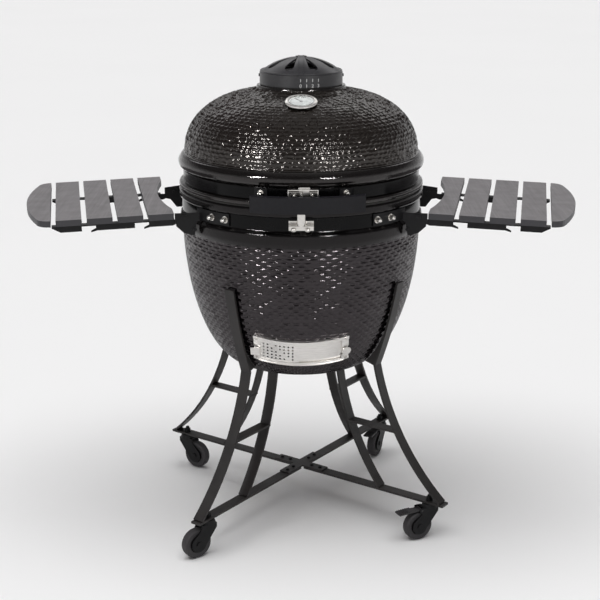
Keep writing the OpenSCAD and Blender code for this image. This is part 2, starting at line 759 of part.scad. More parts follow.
// The two brackets of the right shelf, with the pins that its rails turn on
module shelf_brackets() {
  color(black) {
    difference() {
      union() {
        at_shelf() {
          translate([0, -1, 0]) rotate([90, 0, 0]) linear_extrude(4)
            polygon([[-1.5, 0], [-1.5, -14], [-5, -34], [-24, -52], [-52, -60], [-58, -24], [-70, -18], [-70, 0]]);
          translate([0, rear_rail_y + 8, 0]) rotate([90, 0, 0]) linear_extrude(4)
            polygon([[-1.5, 0], [-1.5, -30], [-17, -33], [-34, -56], [-48, -56], [-84, -18], [-102, -18], [-102, 12],
                     [-60, 7]]);
        }
        arc_block(322.6, 326.2, 870, 901, 34, 55.5);
        arc_block(322.6, 326.2, 870, 901, 117, 133);
      }
      cylinder(r = 322.6, h = 1000);
      bolt_holes(false);
    }
    at_shelf() for (y = [-9, rear_rail_y - 4]) translate([pivot_x, y, pivot_z]) rotate([-90, 0, 0]) {
      cylinder(r = 4, h = 16);
      translate([0, 0, y < 0 ? 0 : 13]) cylinder(r = 7, h = 3.5);
    }
    at_shelf() translate([-53, -9, -43]) rotate([-90, 0, 0]) cylinder(r = 4.5, h = 6);
  }
}

// Casters -------------------------------------------------------------------

// A caster's own place: swivel on z, and the wheel's axle at x = trail along local Y
module at_caster(k) {
  rotate([0, 0, leg_angle[k] + stand_turn]) translate([swivel_rho, 0, 0])
    rotate([0, 0, caster_heading[k] - leg_angle[k] - stand_turn]) children();
}

module caster_fork(k) {
  cheek = wheel_w / 2 + 1.2;
  has_brake = k % 2 == 1;
  color(black) at_caster(k) difference() {
    union() {
      if (has_brake) for (s = [-1, 1]) translate([0, s > 0 ? cheek + 3 : -cheek, 0]) rotate([90, 0, 0])
        linear_extrude(3) polygon([[18, 74], [37, 77], [37, 91.5], [18, 91.5]]);
      translate([0, 0, 88]) cylinder(r1 = 22, r2 = 19, h = 11.5);
      for (s = [-1, 1]) translate([0, s > 0 ? cheek + 3 : -cheek, 0]) rotate([90, 0, 0]) linear_extrude(3)
        polygon(concat([[24, 90], [-19, 90], [-19, 78]],
            [for (t = [200 : 15 : 395]) [trail + 22 * cos(t), wheel_r + 22 * sin(t)]], [[32, 74]]));
      translate([-19, -cheek - 3, 86]) cube([43, 2 * cheek + 6, 4]);
      translate([trail, cheek + 2.5, wheel_r]) rotate([90, 0, 0]) cylinder(r = 4, h = 2 * cheek + 5);
      for (s = [-1, 1]) translate([trail, s > 0 ? cheek + 6 : -cheek - 2.5, wheel_r]) rotate([90, 0, 0])
        cylinder(r = 7, h = 3.5);
    }
    translate([0, 0, 70]) cylinder(r = 5.06, h = 40);
    translate([0, 0, 70]) cylinder(r = 10.5, h = 17);
    if (has_brake) translate([30, 30, 85.5]) rotate([90, 0, 0]) cylinder(r = 3.26, h = 60);
  }
}

// The wheel's hub and disc, bored for the axle
module caster_wheel(k) {
  w = wheel_w / 2 - 1;
  color(black) at_caster(k) translate([trail, 0, wheel_r]) rotate([90, 0, 0])
    turned([[4.06, -w - 1.5], [9, -w - 1.5], [10, -w + 3], [22, -w + 3], [24, -w], [28, -w],
            [28, w], [24, w], [22, w - 3], [10, w - 3], [9, w + 1.5], [4.06, w + 1.5]]);
}

module caster_tyre(k) {
  w = wheel_w / 2;
  color([0.3, 0.28, 0.27]) at_caster(k) translate([trail, 0, wheel_r]) rotate([90, 0, 0])
    turned([[28, -w + 1], [wheel_r - 4, -w], [wheel_r - 1, -w + 2.5], [wheel_r, -w + 7],
            [wheel_r, w - 7], [wheel_r - 1, w - 2.5], [wheel_r - 4, w], [28, w - 1]]);
}

// A ribbed brake pedal, which turns on the fork above the tyre
module brake_pedal(k) {
  color(black) at_caster(k) translate([30, 0, 85.5]) {
    translate([0, 16, 0]) rotate([90, 0, 0]) cylinder(r = 3.2, h = 32);
    translate([0, -12, -2]) cube([28, 24, 3.5]);
    translate([26, 0, 1]) rotate([0, 4, 0]) {
      translate([0, -14, -2]) cube([42, 28, 4]);
      for (i = [0 : 4]) translate([12 + 6 * i, -13, 1]) cube([2.5, 26, 2.6]);
    }
  }
}

// Nodes -------------------------------------------------------------------------

ceramic_base();
base_gasket();
base_band();
base_band_bolts();
fire_box();
fire_ring();
charcoal_grate();
cooking_grid();
draft_frame();
draft_frame_screws();
leg(0);  // leg_front_left
leg(1);  // leg_front_right
leg(2);  // leg_rear_left
leg(3);  // leg_rear_right
leg_pads();
cross_plate();
stand_bolts();
hinge_base_bracket();
hinge_pin();
hinge_springs();
latch_post();
mirror([1, 0, 0]) shelf_brackets();  // shelf_brackets_left
shelf_brackets();  // shelf_brackets_right
ceramic_lid();
lid_gasket();
lid_band();
lid_band_bolts();
handle_grip();
handle_brackets();
latch_keeper();
hinge_lid_bracket();
chimney_gasket();
chimney_ring();
chimney_ring_screws();
thermometer_case();
thermometer_dial();
thermometer_lens();
damper_cap();
thermometer_needle();
latch_lever();
draft_screen();
draft_door();
mirror([1, 0, 0]) shelf_slats();  // shelf_left_slats
mirror([1, 0, 0]) shelf_rails();  // shelf_left_rails
shelf_slats();  // shelf_right_slats
shelf_rails();  // shelf_right_rails
for (k = [0 : 3]) {
  caster_fork(k);
  caster_wheel(k);
  caster_tyre(k);
}
brake_pedal(1);  // brake_pedal_front_right
brake_pedal(3);  // brake_pedal_rear_right
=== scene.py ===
import json
import math

import bpy
import numpy as np
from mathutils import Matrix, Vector


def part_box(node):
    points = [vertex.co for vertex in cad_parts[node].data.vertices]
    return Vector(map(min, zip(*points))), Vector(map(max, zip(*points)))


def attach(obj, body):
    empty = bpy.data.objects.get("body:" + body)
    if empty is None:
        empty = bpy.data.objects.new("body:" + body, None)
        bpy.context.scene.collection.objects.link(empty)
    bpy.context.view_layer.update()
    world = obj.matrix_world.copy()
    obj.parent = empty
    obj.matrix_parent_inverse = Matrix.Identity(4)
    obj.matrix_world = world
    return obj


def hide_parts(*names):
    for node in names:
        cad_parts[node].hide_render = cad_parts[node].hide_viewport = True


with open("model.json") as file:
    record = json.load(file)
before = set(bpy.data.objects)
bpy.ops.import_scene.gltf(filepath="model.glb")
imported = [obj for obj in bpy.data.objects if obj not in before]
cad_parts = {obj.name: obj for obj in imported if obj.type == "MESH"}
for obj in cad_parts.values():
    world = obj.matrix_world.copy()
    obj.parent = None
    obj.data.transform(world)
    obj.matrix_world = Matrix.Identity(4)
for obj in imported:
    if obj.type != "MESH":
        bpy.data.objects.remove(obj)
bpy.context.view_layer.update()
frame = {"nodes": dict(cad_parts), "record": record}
CORNERS = ("front_left", "front_right", "rear_left", "rear_right")


# Materials ---------------------------------------------------------------


class Graph:
    """Short names for making and joining shader nodes."""

    def __init__(self, name):
        self.material = bpy.data.materials.new(name)
        self.material.use_nodes = True
        self.tree = self.material.node_tree
        self.shader = next(n for n in self.tree.nodes if n.type == "BSDF_PRINCIPLED")
        self.place = self.node("ShaderNodeTexCoord").outputs["Object"]

    def node(self, kind, **settings):
        made = self.tree.nodes.new(kind)
        for key, value in settings.items():
            setattr(made, key, value)
        return made

    def join(self, source, target):
        self.tree.links.new(source, target)

    def mapped(self, stretch):
        """The piece's own coordinates, scaled by a different amount along each axis."""
        mapping = self.node("ShaderNodeMapping")
        mapping.inputs["Scale"].default_value = stretch
        self.join(self.place, mapping.inputs["Vector"])
        return mapping.outputs["Vector"]

    def noise(self, scale, detail=3.0, rough=0.55, at=None):
        made = self.node("ShaderNodeTexNoise")
        made.inputs["Scale"].default_value = scale
        made.inputs["Detail"].default_value = detail
        made.inputs["Roughness"].default_value = rough
        self.join(at if at is not None else self.place, made.inputs["Vector"])
        return made.outputs["Fac"]

    def spread(self, value, low, high, start=0.3, end=0.7):
        """A value that runs from start to end, stretched to run from low to high."""
        made = self.node("ShaderNodeMapRange")
        made.inputs["From Min"].default_value = start
        made.inputs["From Max"].default_value = end
        made.inputs["To Min"].default_value = low
        made.inputs["To Max"].default_value = high
        self.join(value, made.inputs["Value"])
        return made.outputs["Result"]

    def upward(self):
        """1 on faces that look up, 0 on upright ones, in the piece's own axes."""
        split = self.node("ShaderNodeSeparateXYZ")
        self.join(self.node("ShaderNodeTexCoord").outputs["Normal"], split.inputs["Vector"])
        return self.spread(split.outputs["Z"], 0.0, 1.0, 0.35, 0.8)

    def mix(self, factor, first, second):
        """A blend of two colours, each a tuple or another node's output."""
        made = self.node("ShaderNodeMix", data_type="RGBA")
        self.join(factor, made.inputs["Factor"])
        for socket, colour in ((6, first), (7, second)):
            if isinstance(colour, tuple):
                made.inputs[socket].default_value = (*colour, 1.0)
            else:
                self.join(colour, made.inputs[socket])
        return made.outputs[2]

    def bump(self, height, distance, strength=1.0, under=None):
        """A normal from a height of 0 to 1 times distance, on top of the normal under it."""
        made = self.node("ShaderNodeBump")
        made.inputs["Distance"].default_value = distance
        made.inputs["Strength"].default_value = strength
        self.join(height, made.inputs["Height"])
        if under is not None:
            self.join(under, made.inputs["Normal"])
        return made.outputs["Normal"]

    def done(self, colour, rough, normal, **constants):
        """The finished material; constants name sockets, with _ for a space."""
        self.join(colour, self.shader.inputs["Base Color"])
        self.join(rough, self.shader.inputs["Roughness"])
        self.join(normal, self.shader.inputs["Normal"])
        for key, value in constants.items():
            self.shader.inputs[key.replace("_", " ")].default_value = value
        return self.material


def coated(name, dark, light, rough, grain, depth, **constants):
    """Paint, powder coat, plastic or rubber: broad tone changes, fine grain, uneven gloss."""
    graph = Graph(name)
    broad = graph.spread(graph.noise(9.0, 4.0), 0.0, 1.0)
    tone = graph.mix(broad, dark, light)
    worn = graph.spread(graph.noise(63.0, 6.0, 0.7), 0.0, 0.35, 0.55, 0.8)
    worn_light = tuple(min(1.0, c * 1.5 + 0.004) for c in light)
    tone = graph.mix(worn, tone, worn_light)
    gloss = graph.spread(graph.noise(20.7, 5.0), *rough)
    return graph.done(tone, gloss, graph.bump(graph.noise(grain, 3.0), depth), **constants)


def brushed(name, dark, light, rough, stretch):
    """Metal with fine lines one way, faint smears and uneven gloss."""
    graph = Graph(name)
    lines = graph.noise(1.0, 4.0, 0.6, graph.mapped(stretch))
    smears = graph.spread(graph.noise(14.0, 5.0, 0.65), 0.0, 1.0, 0.35, 0.7)
    tone = graph.mix(graph.spread(lines, 0.0, 1.0), dark, light)
    tone = graph.mix(graph.spread(smears, 0.0, 0.25, 0.4, 1.0), tone, dark)
    gloss = graph.spread(graph.noise(22.0, 4.0), *rough)
    return graph.done(tone, gloss, graph.bump(lines, 0.00004, 0.6), Metallic=1.0)


def glaze(name, pocket, ridge, rough, **constants):
    """Kiln glaze over ceramic: two tones mixed in broad patches, light specks, pinholes and a
    soft orange peel.
    """
    graph = Graph(name)
    broad = graph.spread(graph.noise(5.0, 5.0), 0.0, 1.0)
    tone = graph.mix(broad, pocket, ridge)
    specks = graph.spread(graph.noise(260.0, 2.0), 0.0, 1.0, 0.66, 0.78)
    speck = tuple(c * 1.9 for c in ridge)
    tone = graph.mix(specks, tone, speck)
    gloss = graph.spread(graph.noise(30.0, 5.0, 0.65), *rough)
    peel = graph.bump(graph.noise(150.0, 3.0), 0.0008, 0.7)
    pits = graph.bump(graph.noise(420.0, 2.0), 0.0001, 0.4, peel)
    return graph.done(tone, gloss, pits, IOR=1.52, **constants)


def stained_wood(name, dark, light, upright_shade, rough, along, **constants):
    """Stained bamboo: long fibres, darker streaks, painted shade on the upright faces and edges,
    and a worn, slightly uneven sheen.

    along is the axis of the fibres: 0 for X, 1 for Y."""
    graph = Graph(name)
    stretch = tuple(260.0 if i != along else 5.0 for i in range(3))
    fibre = graph.noise(1.0, 5.0, 0.7, graph.mapped(stretch))
    streak = graph.noise(1.0, 3.0, 0.5, graph.mapped(tuple(v * 0.16 for v in stretch)))
    tone = graph.mix(graph.spread(fibre, 0.0, 1.0), dark, light)
    tone = graph.mix(graph.spread(streak, 0.0, 0.55, 0.45, 0.75), tone, dark)
    # Faces that don't look up take the darker colour: painted shade, so the tops read as lit.
    tone = graph.mix(graph.upward(), upright_shade, tone)
    gloss = graph.spread(graph.noise(18.0, 4.0), *rough)
    return graph.done(tone, gloss, graph.bump(fibre, 0.0004, 0.5), **constants)


# Glazes: pocket and ridge colours, then the range of roughness.
# Coated: dark and light colours, roughness, the grain's scale and its depth in metres.
# Brushed: dark and light colours, roughness, and the lines' scale along X, Y and Z.
# Stained: dark and light colours, the painted shade of the upright faces, roughness, and the axis
# of the fibres.
looks = {
    "bowl": glaze(
        "glaze_bowl",
        (0.0032, 0.0024, 0.0028),
        (0.0090, 0.0072, 0.0082),
        (0.12, 0.19),
        Specular_Tint=(1.0, 0.90, 0.94, 1.0),
    ),
    "lid": glaze(
        "glaze_lid",
        (0.0070, 0.0054, 0.0044),
        (0.0125, 0.0100, 0.0085),
        (0.12, 0.18),
        Specular_Tint=(1.0, 0.93, 0.89, 1.0),
    ),
    "rim": glaze(
        "glaze_smooth",
        (0.0042, 0.0036, 0.0034),
        (0.0078, 0.0068, 0.0064),
        (0.06, 0.11),
        Specular_Tint=(1.0, 0.95, 0.94, 1.0),
    ),
    # The smooth glaze again, darker and less reflective: painted shade on the base's rims.
    "shaded_rim": glaze(
        "glaze_low_rim",
        (0.0024, 0.0021, 0.0021),
        (0.0046, 0.0040, 0.0040),
        (0.06, 0.11),
        Specular_IOR_Level=0.26,
        Specular_Tint=(1.0, 0.95, 0.96, 1.0),
    ),
    "inside": coated(
        "bare_ceramic",
        (0.40, 0.34, 0.28),
        (0.50, 0.44, 0.37),
        (0.75, 0.9),
        320,
        0.0003,
    ),
    "clay": coated("fire_clay", (0.42, 0.35, 0.27), (0.55, 0.47, 0.37), (0.8, 0.95), 180, 0.0008),
    "felt": coated("felt", (0.03, 0.028, 0.027), (0.06, 0.056, 0.053), (0.9, 1.0), 900, 0.0006),
    "band": coated(
        "band_enamel",
        (0.0020, 0.0020, 0.0022),
        (0.0042, 0.0042, 0.0046),
        (0.10, 0.2),
        260,
        0.00006,
        Specular_IOR_Level=0.13,
    ),
    "black": coated(
        "black_powder",
        (0.0050, 0.0050, 0.0056),
        (0.0095, 0.0092, 0.0100),
        (0.34, 0.48),
        700,
        0.00012,
        Specular_IOR_Level=0.18,
    ),
    "stand": coated(
        "stand_powder",
        (0.0130, 0.0110, 0.0108),
        (0.0230, 0.0200, 0.0192),
        (0.38, 0.52),
        620,
        0.00012,
        Specular_IOR_Level=0.35,
    ),
    "cap": coated(
        "cap_enamel",
        (0.0150, 0.0143, 0.0172),
        (0.0240, 0.0228, 0.0268),
        (0.30, 0.42),
        600,
        0.0001,
    ),
    "iron": coated(
        "cast_iron",
        (0.012, 0.012, 0.012),
        (0.03, 0.028, 0.026),
        (0.6, 0.8),
        420,
        0.0006,
    ),
    "tyre": coated(
        "tyre_rubber",
        (0.018, 0.016, 0.018),
        (0.030, 0.027, 0.030),
        (0.6, 0.8),
        500,
        0.0002,
    ),
    "hub": coated(
        "hub_plastic",
        (0.010, 0.009, 0.010),
        (0.018, 0.016, 0.018),
        (0.35, 0.5),
        400,
        0.0001,
    ),
    "pad": coated("pad_rubber", (0.01, 0.01, 0.01), (0.02, 0.02, 0.02), (0.7, 0.85), 500, 0.0002),
    "white": coated(
        "print_white",
        (0.70, 0.70, 0.70),
        (0.82, 0.82, 0.82),
        (0.45, 0.6),
        500,
        0.00004,
    ),
    "dial": coated(
        "dial_paint",
        (0.42, 0.44, 0.43),
        (0.52, 0.54, 0.53),
        (0.4, 0.5),
        300,
        0.00004,
    ),
    "ink": coated("dial_ink", (0.02, 0.02, 0.02), (0.04, 0.04, 0.04), (0.4, 0.5), 300, 0.00002),
    "needle": coated(
        "needle_paint",
        (0.020, 0.020, 0.018),
        (0.035, 0.034, 0.030),
        (0.3, 0.4),
        300,
        0.00002,
    ),
    "steel": brushed(
        "stainless_bright",
        (0.55, 0.53, 0.50),
        (0.80, 0.78, 0.75),
        (0.16, 0.28),
        (60, 60, 900),
    ),
    "bezel": brushed(
        "stainless_bezel",
        (0.74, 0.72, 0.69),
        (0.92, 0.90, 0.87),
        (0.22, 0.34),
        (90, 90, 300),
    ),
    "sheet": brushed(
        "stainless_sheet",
        (0.68, 0.66, 0.635),
        (0.91, 0.89, 0.86),
        (0.30, 0.42),
        (40, 40, 1200),
    ),
    "rod": brushed(
        "stainless_rod",
        (0.45, 0.44, 0.42),
        (0.66, 0.65, 0.63),
        (0.25, 0.4),
        (300, 300, 300),
    ),
    "slat": stained_wood(
        "stained_slats",
        (0.110, 0.103, 0.107),
        (0.198, 0.186, 0.192),
        # painted shade on the slats' upright faces
        (0.026, 0.0245, 0.030),
        (0.42, 0.58),
        1,
    ),
    "grip": stained_wood(
        "stained_grip",
        (0.0060, 0.0058, 0.0078),
        (0.0110, 0.0104, 0.0136),
        # painted shade on the grip's upright faces
        (0.0070, 0.0066, 0.0090),
        (0.5, 0.65),
        0,
        Specular_IOR_Level=0.2,
    ),
}
lens = Graph("clear_lens")
lens.done(
    lens.mix(lens.noise(30.0), (0.95, 0.97, 0.97), (1.0, 1.0, 1.0)),
    lens.spread(lens.noise(40.0), 0.01, 0.05),
    lens.bump(lens.noise(60.0), 0.00002),
    IOR=1.46,
)
lens.shader.inputs["Transmission Weight"].default_value = 1.0
looks["lens"] = lens.material


# Mesh helpers ------------------------------------------------------------


def mesh_object(name, verts, faces, materials, smooth=True, index=None):
    """A new mesh in the scene; index gives each face its material."""
    mesh = bpy.data.meshes.new(name)
    mesh.from_pydata([tuple(v) for v in verts], [], [tuple(f) for f in faces])
    for material in materials:
        mesh.materials.append(material)
    if index is not None:
        mesh.polygons.foreach_set("material_index", index)
    mesh.polygons.foreach_set("use_smooth", [smooth] * len(mesh.polygons))
    mesh.update()
    made = bpy.data.objects.new(name, mesh)
    bpy.context.scene.collection.objects.link(made)
    return made


BEVEL_SEGMENTS, BEVEL_ANGLE = 2, 35


def paint(node, material, bevel):
    """Gives a CAD node its material and, where bevel isn't 0, softened edges."""
    piece = frame["nodes"][node]
    piece.data.materials.clear()
    piece.data.materials.append(material)
    piece.data.polygons.foreach_set("material_index", [0] * len(piece.data.polygons))
    if bevel:
        soft = piece.modifiers.new("edges", "BEVEL")
        soft.width = bevel
        soft.segments = BEVEL_SEGMENTS
        soft.limit_method = "ANGLE"
        soft.angle_limit = math.radians(BEVEL_ANGLE)
        soft.harden_normals = True


def rounded(points, radius, steps=3):
    """A line of points with each inner corner cut back by radius and rounded."""
    out = [points[0]]
    for a, b, c in zip(points, points[1:], points[2:]):
        a, b, c = (np.array(p, float) for p in (a, b, c))
        cut = min(radius, 0.45 * np.linalg.norm(b - a), 0.45 * np.linalg.norm(c - b))
        start = b + (a - b) / np.linalg.norm(a - b) * cut
        end = b + (c - b) / np.linalg.norm(c - b) * cut
        for i in range(steps + 1):
            t = i / steps
            out.append(tuple((1 - t) ** 2 * start + 2 * t * (1 - t) * b + t * t * end))
    out.append(points[-1])
    return out


def turned(profile, columns, depth=None, closed=True):
    """Vertices and faces of a ring-shaped skin turned from a profile.

    depth, one row per profile point, moves points inwards along the profile's normal."""
    points = np.array(profile, float)
    ahead, behind = np.roll(points, -1, 0), np.roll(points, 1, 0)
    along = ahead - behind
    along /= np.maximum(np.linalg.norm(along, axis=1), 1e-9)[:, None]
    normal = np.stack([along[:, 1], -along[:, 0]], 1)
    if depth is None:
        depth = np.zeros((len(points), columns))
    r = points[:, :1] - normal[:, :1] * depth
    z = points[:, 1:] - normal[:, 1:] * depth
    turn = np.arange(columns) * 2 * math.pi / columns
    verts = np.stack([r * np.sin(turn), -r * np.cos(turn), z], 2).reshape(-1, 3)
    rows = len(points)
    i, j = np.meshgrid(np.arange(rows if closed else rows - 1), np.arange(columns), indexing="ij")
    k, n = (i + 1) % rows, (j + 1) % columns
    faces = np.stack([i * columns + j, i * columns + n, k * columns + n, k * columns + j], 2)
    return verts, faces.reshape(-1, 4)


SIZE_SPREAD, LEAN_SPREAD = 0.22, 0.10  # how much the bowl's pockets differ
SCALE_SIZE_SPREAD, SCALE_DRIFT = 0.25, 0.12  # how much the lid's pockets differ
ROW_SQUASH = 1.25  # above 1 a pocket of the lid is wider than high
SCALE_EDGE = 0.0062  # full depth where the nearest centre is this much nearer than the next


def pockets(rows, columns, per_row, per_cell, depth, across, along, seed):
    """Depths of brick-laid pockets on a grid, each a little different from the next.

    across and along are powers: the higher, the flatter the floor of a pocket."""
    rng = np.random.default_rng(seed)
    cells_up, cells_round = rows // per_row, columns // per_cell
    size = 1 + SIZE_SPREAD * rng.standard_normal((cells_up + 1, cells_round))
    lean = LEAN_SPREAD * rng.standard_normal((cells_up + 1, cells_round))
    i, j = np.meshgrid(np.arange(rows + 1), np.arange(columns), indexing="ij")
    row = np.minimum(i // per_row, cells_up)
    shifted = j + (row % 2) * (per_cell // 2)
    cell = (shifted // per_cell) % cells_round
    u = (shifted % per_cell) / per_cell
    v = (i % per_row) / per_row
    u = (u - 0.5 + lean[row, cell] * (v - 0.5)) * 2
    v = (v - 0.5) * 2
    shape = np.clip(1 - np.abs(u) ** across, 0, 1) * np.clip(1 - np.abs(v) ** along, 0, 1)
    return depth * np.clip(size[row, cell], 0.4, 1.6) * shape


def scales(profile, lines_per_row, columns, rim_cells, depth, seed):
    """Depths of staggered six-sided pockets of even width over a dome."""
    rng = np.random.default_rng(seed)
    points = np.array(profile)
    run = np.concatenate([[0], np.cumsum(np.linalg.norm(np.diff(points, axis=0), axis=1))])
    turn = np.arange(columns) / columns
    rows = []
    for k, middle in enumerate(range(lines_per_row // 2, len(points), lines_per_row)):
        cells = max(12, round(rim_cells * points[middle][0] / points[0][0]))
        place = turn * cells + (0.5 * (k % 2) if cells == rim_cells else rng.random())
        size = np.clip(1 + SCALE_SIZE_SPREAD * rng.standard_normal(cells), 0.45, 1.6)
        drift = SCALE_DRIFT * rng.standard_normal(cells)
        which = place.astype(int) % cells
        off = np.abs(place % 1 - 0.5 + drift[which])
        wide = 2 * math.pi * points[middle][0] / cells
        rows.append((run[middle], off * wide, (1 - off) * wide, size[which]))
    out = np.zeros((len(points), columns))
    for line in range(lines_per_row // 2, len(points) - 1):
        k = line // lines_per_row
        near, size = [], []
        for at, first, second, swell in rows[max(0, k - 1) : k + 2]:
            rise = (run[line] - at) * ROW_SQUASH
            near += [np.hypot(first, rise), np.hypot(second, rise)]
            size += [swell, swell]
        near, size = np.array(near), np.array(size)
        order = np.argsort(near, axis=0)
        nearest = np.take_along_axis(near, order[:2], 0)
        swell = np.take_along_axis(size, order[:1], 0)[0]
        wall = np.clip((nearest[1] - nearest[0]) / SCALE_EDGE, 0, 1)
        out[line] = depth * swell * wall * (2 - wall)
    return out


def even_points(curve, count, growth=0.0):
    """count + 1 points along a dense curve, spaced evenly or with a growing step."""
    curve = np.array(curve)
    run = np.concatenate([[0], np.cumsum(np.linalg.norm(np.diff(curve, axis=0), axis=1))])
    at = np.linspace(0, 1, count + 1)
    at = run[-1] * ((1 - growth) * at + growth * at * at)
    return np.stack([np.interp(at, run, curve[:, k]) for k in (0, 1)], 1)


def bent_block(name, radii, half_height, half_angle, joint, steps=40):
    """A box bent round a joint's leaning axis, as a closed cutter."""
    axis = Vector(joint["axis"]).normalized()
    side = Vector((1, 0, 0))
    front = axis.cross(side).normalized()
    if front.y > 0:
        front = -front
    centre = Vector(joint["pos_m"])
    verts, faces = [], []
    for k in range(steps + 1):
        a = math.radians(half_angle) * (2 * k / steps - 1)
        out = side * math.sin(a) + front * math.cos(a)
        for r, side_of in ((0, -1), (1, -1), (1, 1), (0, 1)):
            verts.append(centre + out * radii[r] + axis * half_height * side_of)
    for k in range(steps):
        for q in range(4):
            n = (q + 1) % 4
            faces.append((4 * k + q, 4 * k + 4 + q, 4 * k + 4 + n, 4 * k + n))
    faces += [(3, 2, 1, 0), tuple(4 * steps + q for q in range(4))]
    return mesh_object(name, verts, faces, [])


def cut_away(piece, cutters):
    """Takes closed cutters out of a closed piece and bakes the result."""
    for cutter in cutters:
        hole = piece.modifiers.new("hole", "BOOLEAN")
        hole.operation = "DIFFERENCE"
        hole.solver = "EXACT"
        hole.object = cutter
    shown = bpy.context.evaluated_depsgraph_get()
    baked = bpy.data.meshes.new_from_object(piece.evaluated_get(shown))
    piece.modifiers.clear()
    piece.data = baked
    for cutter in cutters:
        bpy.data.objects.remove(cutter)


# The part's own measures ---------------------------------------------------

base_low, base_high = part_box("ceramic_base")
lid_low, lid_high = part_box("ceramic_lid")
FOOT_Z = base_low[2]
RIM_PROUD = 0.007  # the rolled rim stands this far outside the bowl
BOWL_R = base_high[0] - RIM_PROUD
BASE_TOP = base_high[2]
PART_Z = lid_low[2]
FLANGE_R = lid_high[0]
joints = {j["name"]: j for j in frame["record"]["behaviour"]["joints"]}

WIDEST_Z = BASE_TOP - 0.075  # where the bowl's quarter ellipse is widest
FLAT_R = 0.155  # the ellipse starts this far from the middle
PATTERN_TOP_Z = WIDEST_Z - 0.028  # the dimples end here, below the rolled rim
BOWL_WALL = 0.032
RIM_ROUND, CROWN_ROUND = 0.005, 0.002  # radii of the smooth glaze's corners
DOME_BEND = 0.91  # below 1 the dome is fuller than an ellipse


def bowl_outline(z):
    """Outer radius of the bowl at a height."""
    drop = (WIDEST_Z - z) / (WIDEST_Z - FOOT_Z)
    return FLAT_R + (BOWL_R - FLAT_R) * math.sqrt(max(0.0, 1 - drop * drop))


# A dome is a bent quarter ellipse, reach wide and rise high, about a point of its section
OUTER_DOME = {"foot_r": 0.090, "foot_z": 0.088, "reach": 0.224, "rise": 0.165}
INNER_DOME = {"foot_r": 0.080, "foot_z": 0.082, "reach": 0.208, "rise": 0.149}


def dome_point(t, foot_r, foot_z, reach, rise):
    """A point of the dome's outline, t from 0 at the rim to a quarter turn on top."""
    return (
        foot_r + reach * math.cos(t) ** DOME_BEND,
        PART_Z + foot_z + rise * math.sin(t) ** DOME_BEND,
    )


# Ceramic base: dimpled glaze below, smooth rolled rims above -----------------

# Pockets up and round the bowl, and the mesh lines across each pocket
BASE_ROWS, BASE_CELL_ROWS, BASE_COLS, BASE_CELL_COLS = 46, 4, 72, 6
DIMPLE_DEPTH = 0.0036
top_phi = math.asin((WIDEST_Z - PATTERN_TOP_Z) / (WIDEST_Z - FOOT_Z))
bowl_curve = [
    (FLAT_R + (BOWL_R - FLAT_R) * math.cos(t), WIDEST_Z - (WIDEST_Z - FOOT_Z) * math.sin(t))
    for t in np.linspace(math.pi / 2 - 0.02, top_phi, 400)
]
textured = even_points(bowl_curve, BASE_ROWS * BASE_CELL_ROWS)
columns = BASE_COLS * BASE_CELL_COLS
dents = pockets(
    BASE_ROWS * BASE_CELL_ROWS,
    columns,
    BASE_CELL_ROWS,
    BASE_CELL_COLS,
    DIMPLE_DEPTH,
    across=3.0,
    along=2.0,
    seed=3,
)
# Profiles are lists of radius and height, followed with the outside first
rim = rounded(
    [
        tuple(textured[-1]),
        (BOWL_R + 0.0018, WIDEST_Z - 0.024),
        (BOWL_R + 0.0055, WIDEST_Z - 0.016),
        (BOWL_R + 0.0055, WIDEST_Z + 0.008),
        (BOWL_R - 0.003, WIDEST_Z + 0.0155),
        (BOWL_R - 0.003, BASE_TOP - 0.0215),
        (BOWL_R + RIM_PROUD, BASE_TOP - 0.0215),
        (BOWL_R + RIM_PROUD, BASE_TOP),
        (BOWL_R - BOWL_WALL, BASE_TOP),
        (BOWL_R - BOWL_WALL - 0.001, WIDEST_Z),
    ],
    RIM_ROUND,
)[1:]
inside_heights = [WIDEST_Z - drop for drop in (0.05, 0.11, 0.17, 0.23, 0.29, 0.34, 0.37)]
inside = [(bowl_outline(z - 0.009) - BOWL_WALL, z) for z in inside_heights]
floor_z = FOOT_Z + 0.034
inside += [(0.11, floor_z), (0.002, floor_z), (0.002, FOOT_Z), (0.12, FOOT_Z)]
profile = [tuple(p) for p in textured] + rim + inside
depth = np.zeros((len(profile), columns))
depth[: len(dents)] = dents
verts, faces = turned(profile, columns, depth)
# Which material each row of faces takes: dimpled, smooth rim in painted shade, or bare inside
first_rim, first_inside = len(dents) - 1, len(dents) + len(rim) - 3
row_of = np.arange(len(profile)).repeat(columns)
index = np.where(row_of < first_rim, 0, np.where(row_of < first_inside, 1, 2))
bowl_looks = [looks["bowl"], looks["shaded_rim"], looks["inside"]]
bowl = mesh_object("bowl_shell", verts, faces, bowl_looks, True, index)

# The draft opening: a flat seat for its frame and a way through the wall
screen_joint = joints["screen_slide"]
SEAT_HALF, WAY_HALF = 0.0422, 0.028  # half the heights of the seat and of the way
seat_cutter = bent_block("seat_cutter", (0.2872, 0.36), SEAT_HALF, 25.55, screen_joint)
way_cutter = bent_block("way_cutter", (0.20, 0.295), WAY_HALF, 19.0, screen_joint)
cut_away(bowl, [seat_cutter, way_cutter])
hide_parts("ceramic_base")
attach(bowl, "base")

# Ceramic lid: scaled glaze on the dome, smooth crown and lip, bare hollow ---------

# Rows of pockets, mesh lines across each row, columns of the mesh, pockets at the rim
LID_ROWS, LINES_PER_ROW, LID_COLUMNS, RIM_CELLS = 26, 5, 700, 124
SMOOTH_COLUMNS = 180
SCALE_DEPTH = 0.0027
DOME_END, HOLLOW_END = math.radians(79.5), math.radians(84)
dome_curve = [dome_point(t, **OUTER_DOME) for t in np.linspace(0.0, DOME_END, 400)]
